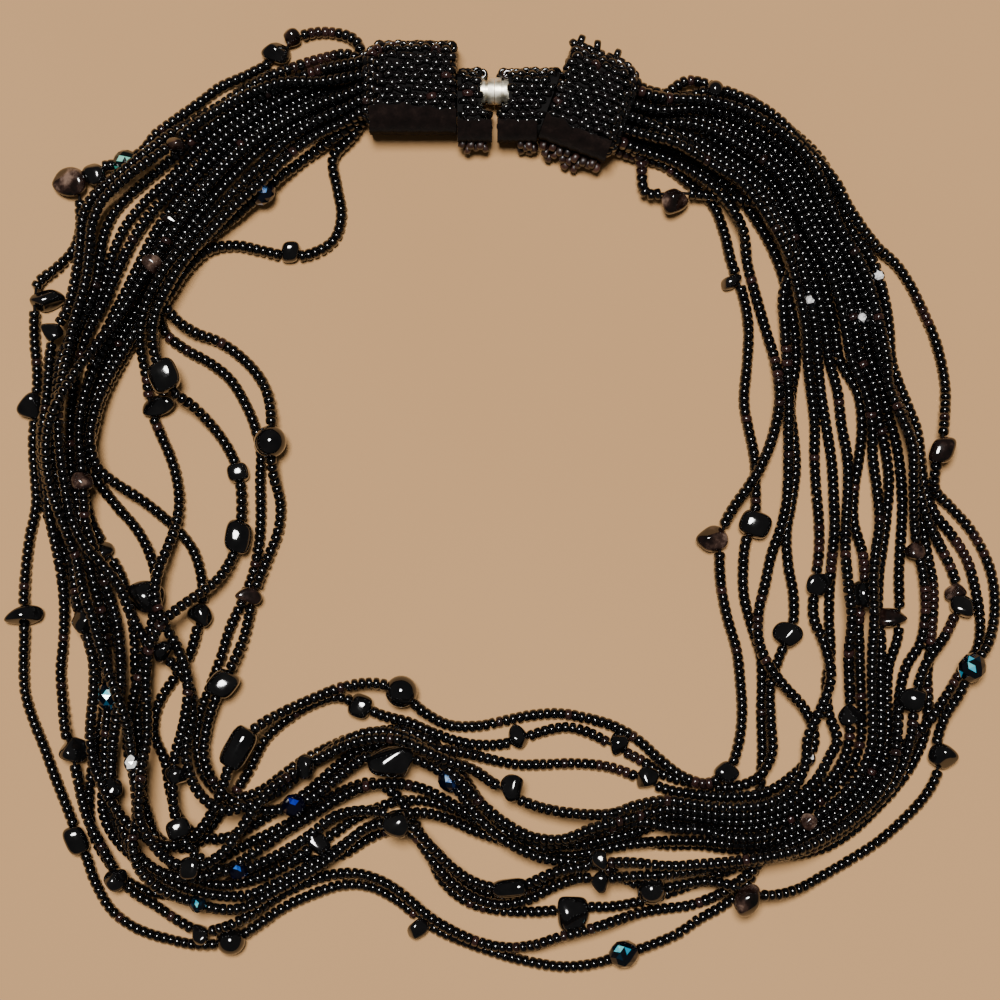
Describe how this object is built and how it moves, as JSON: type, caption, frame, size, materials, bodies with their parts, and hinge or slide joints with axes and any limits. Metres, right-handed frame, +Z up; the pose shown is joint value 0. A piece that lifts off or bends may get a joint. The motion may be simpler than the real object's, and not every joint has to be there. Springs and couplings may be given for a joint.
{
  "type": "multi strand necklace",
  "caption": "Black seed bead necklace of loose strands between two woven end caps, with scattered larger beads and a magnetic clasp.",
  "frame": {"origin": "middle of the laid-out necklace in plan, on the surface it lies on", "axes": "+Z up from the surface; +Y towards the clasp; +X to the right as seen from above"},
  "size_m": [0.1851, 0.1757, 0.0162],
  "materials": {
    "seed_beads": "glossy opaque black",
    "woven_beads": "glossy opaque black, woven",
    "black_stone": "polished opaque black",
    "smoky_chip": "polished smoky brown to black",
    "crystal": "faceted, iridescent blue to teal",
    "clasp_metal": "polished silver-coloured"
  },
  "bodies": {
    "root": {"strand_01": "seed_beads", "strand_02": "seed_beads", "strand_03": "seed_beads", "strand_04": "seed_beads", "strand_05": "seed_beads", "strand_06": "seed_beads", "strand_07": "seed_beads", "strand_08": "seed_beads", "strand_09": "seed_beads", "strand_10": "seed_beads", "strand_11": "seed_beads", "strand_12": "seed_beads", "strand_13": "seed_beads", "strand_14": "seed_beads", "strand_15": "seed_beads", "strand_16": "seed_beads", "chip_01": "smoky_chip", "crystal_01": "crystal", "chip_02": "smoky_chip", "chip_03": "smoky_chip", "chip_04": "smoky_chip", "chip_05": "smoky_chip", "block_01": "black_stone", "round_01": "black_stone", "crystal_02": "crystal", "block_02": "black_stone", "block_03": "black_stone", "chip_06": "smoky_chip", "round_02": "black_stone", "block_04": "black_stone", "chip_07": "smoky_chip", "chip_08": "smoky_chip", "crystal_03": "crystal", "chip_09": "smoky_chip", "chip_10": "smoky_chip", "crystal_04": "crystal", "round_03": "black_stone", "block_05": "black_stone", "crystal_05": "crystal", "chip_11": "smoky_chip", "crystal_06": "crystal", "round_04": "black_stone", "chip_12": "smoky_chip", "chip_13": "smoky_chip", "crystal_07": "crystal", "block_06": "black_stone", "chip_14": "smoky_chip", "drop_01": "black_stone", "round_05": "black_stone", "chip_15": "smoky_chip", "drop_02": "black_stone", "block_07": "black_stone", "block_08": "black_stone", "chip_16": "smoky_chip", "left_cap": "woven_beads", "right_cap": "woven_beads", "left_sleeve": "woven_beads", "right_sleeve": "woven_beads", "clasp_left": "clasp_metal", "clasp_right": "clasp_metal"}
  },
  "joints": []
}
